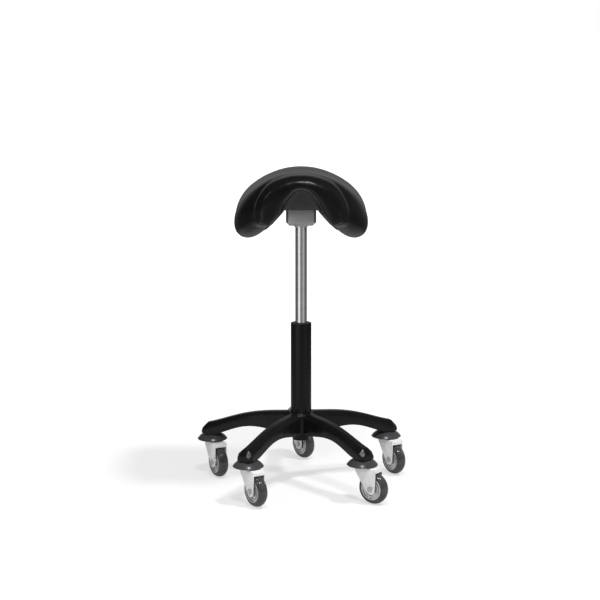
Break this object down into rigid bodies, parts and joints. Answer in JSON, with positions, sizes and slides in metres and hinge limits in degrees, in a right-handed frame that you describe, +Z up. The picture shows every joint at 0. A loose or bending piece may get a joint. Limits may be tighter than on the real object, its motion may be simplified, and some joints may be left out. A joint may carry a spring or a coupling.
{
  "type": "saddle stool",
  "caption": "Saddle stool with an arched padded saddle seat on a gas lift and a star base on swivel castors.",
  "frame": {"origin": "on the floor under the column's axis", "axes": "+Z up along the column; the front of the saddle faces -Y; +X is the rider's right seen from the front"},
  "size_m": [0.514, 0.5143, 0.766],
  "materials": {
    "base_nylon": "glossy black moulded nylon",
    "column_black": "black powder coat",
    "bush_plastic": "matte black",
    "bright_steel": "zinc plated",
    "aluminium_grey": "machined",
    "black_rubber": "matte",
    "lift_chrome": "polished chrome",
    "mount_grey": "grey satin paint",
    "grip_plastic": "matte black",
    "shell_plastic": "moulded black",
    "seat_foam": "moulded foam",
    "seat_leather": "smooth semi-gloss black",
    "underside_vinyl": "matte black vinyl",
    "piping_black": "satin black",
    "disc_grey": "dark grey satin",
    "fork_zinc": "bright zinc",
    "wheel_hub_grey": "silver grey",
    "tyre_clear": "see-through grey"
  },
  "bodies": {
    "base": {"star_base": "base_nylon", "column_tube": "column_black", "guide_bush": "bush_plastic", "castor_1_stem": "bright_steel", "castor_1_disc": "disc_grey", "castor_2_stem": "bright_steel", "castor_2_disc": "disc_grey", "castor_3_stem": "bright_steel", "castor_3_disc": "disc_grey", "castor_4_stem": "bright_steel", "castor_4_disc": "disc_grey", "castor_5_stem": "bright_steel", "castor_5_disc": "disc_grey"},
    "spindle": {"piston_rod": "bright_steel", "piston": "aluminium_grey", "bump_stop": "black_rubber", "retaining_clip": "bright_steel", "thrust_bearing": "bright_steel"},
    "seat": {"gas_cylinder": "lift_chrome", "cylinder_gland": "aluminium_grey", "valve_body": "aluminium_grey", "mount_housing": "mount_grey", "taper_socket": "mount_grey", "mount_plate": "mount_grey", "lever_pivot": "bright_steel", "seat_screws": "bright_steel", "tee_nuts": "bright_steel", "seat_shell": "shell_plastic", "seat_foam": "seat_foam", "seat_cover": "seat_leather", "seat_bottom_cover": "underside_vinyl", "seat_piping": "piping_black"},
    "lever": {"lever_arm": "bright_steel", "lever_grip": "grip_plastic"},
    "valve": {"valve_pin": "bright_steel"},
    "castor_1_swivel": {"castor_1_fork": "fork_zinc", "castor_1_swivel_balls": "bright_steel", "castor_1_axle": "bright_steel"},
    "castor_1_wheel": {"castor_1_hub": "wheel_hub_grey", "castor_1_tyre": "tyre_clear"},
    "castor_2_swivel": {"castor_2_fork": "fork_zinc", "castor_2_swivel_balls": "bright_steel", "castor_2_axle": "bright_steel"},
    "castor_2_wheel": {"castor_2_hub": "wheel_hub_grey", "castor_2_tyre": "tyre_clear"},
    "castor_3_swivel": {"castor_3_fork": "fork_zinc", "castor_3_swivel_balls": "bright_steel", "castor_3_axle": "bright_steel"},
    "castor_3_wheel": {"castor_3_hub": "wheel_hub_grey", "castor_3_tyre": "tyre_clear"},
    "castor_4_swivel": {"castor_4_fork": "fork_zinc", "castor_4_swivel_balls": "bright_steel", "castor_4_axle": "bright_steel"},
    "castor_4_wheel": {"castor_4_hub": "wheel_hub_grey", "castor_4_tyre": "tyre_clear"},
    "castor_5_swivel": {"castor_5_fork": "fork_zinc", "castor_5_swivel_balls": "bright_steel", "castor_5_axle": "bright_steel"},
    "castor_5_wheel": {"castor_5_hub": "wheel_hub_grey", "castor_5_tyre": "tyre_clear"}
  },
  "joints": [
    {"name": "seat_swivel", "type": "hinge", "parent": "base", "child": "spindle", "pos_m": [0, 0, 0.12], "axis": [0, 0, 1], "continuous": true},
    {"name": "seat_height", "type": "slide", "parent": "spindle", "child": "seat", "axis": [0, 0, 1], "range_m": [-0.2, 0]},
    {"name": "release_lever", "type": "hinge", "parent": "seat", "child": "lever", "pos_m": [0, 0.025, 0.656], "axis": [1, 0, 0], "range_deg": [0, 8], "stiffness_Nm_per_rad": 3, "springref_deg": -6.88},
    {"name": "valve_pin_push", "type": "slide", "parent": "seat", "child": "valve", "axis": [0, 0, -1], "range_m": [0, 0.0036]},
    {"name": "castor_1_turn", "type": "hinge", "parent": "base", "child": "castor_1_swivel", "pos_m": [0.21178, 0.08172, 0.087], "axis": [0, 0, 1], "continuous": true},
    {"name": "castor_1_roll", "type": "hinge", "parent": "castor_1_swivel", "child": "castor_1_wheel", "pos_m": [0.23023, 0.05508, 0.0375], "axis": [0.8221, 0.5693, 0], "continuous": true},
    {"name": "castor_2_turn", "type": "hinge", "parent": "base", "child": "castor_2_swivel", "pos_m": [-0.01228, 0.22667, 0.087], "axis": [0, 0, 1], "continuous": true},
    {"name": "castor_2_roll", "type": "hinge", "parent": "castor_2_swivel", "child": "castor_2_wheel", "pos_m": [0.00649, 0.20026, 0.0375], "axis": [0.8151, 0.5793, 0], "continuous": true},
    {"name": "castor_3_turn", "type": "hinge", "parent": "base", "child": "castor_3_swivel", "pos_m": [-0.21937, 0.05837, 0.087], "axis": [0, 0, 1], "continuous": true},
    {"name": "castor_3_roll", "type": "hinge", "parent": "castor_3_swivel", "child": "castor_3_wheel", "pos_m": [-0.20381, 0.02995, 0.0375], "axis": [0.8771, 0.4802, 0], "continuous": true},
    {"name": "castor_4_turn", "type": "hinge", "parent": "base", "child": "castor_4_swivel", "pos_m": [-0.1233, -0.19059, 0.087], "axis": [0, 0, 1], "continuous": true},
    {"name": "castor_4_roll", "type": "hinge", "parent": "castor_4_swivel", "child": "castor_4_wheel", "pos_m": [-0.10504, -0.21736, 0.0375], "axis": [0.8261, 0.5635, 0], "continuous": true},
    {"name": "castor_5_turn", "type": "hinge", "parent": "base", "child": "castor_5_swivel", "pos_m": [0.14316, -0.17616, 0.087], "axis": [0, 0, 1], "continuous": true},
    {"name": "castor_5_roll", "type": "hinge", "parent": "castor_5_swivel", "child": "castor_5_wheel", "pos_m": [0.16957, -0.19493, 0.0375], "axis": [0.5793, 0.8151, 0], "continuous": true}
  ],
  "couplings": [
    {"joint": "valve_pin_push", "follows": "release_lever", "m_per_rad": 0.025525}
  ]
}
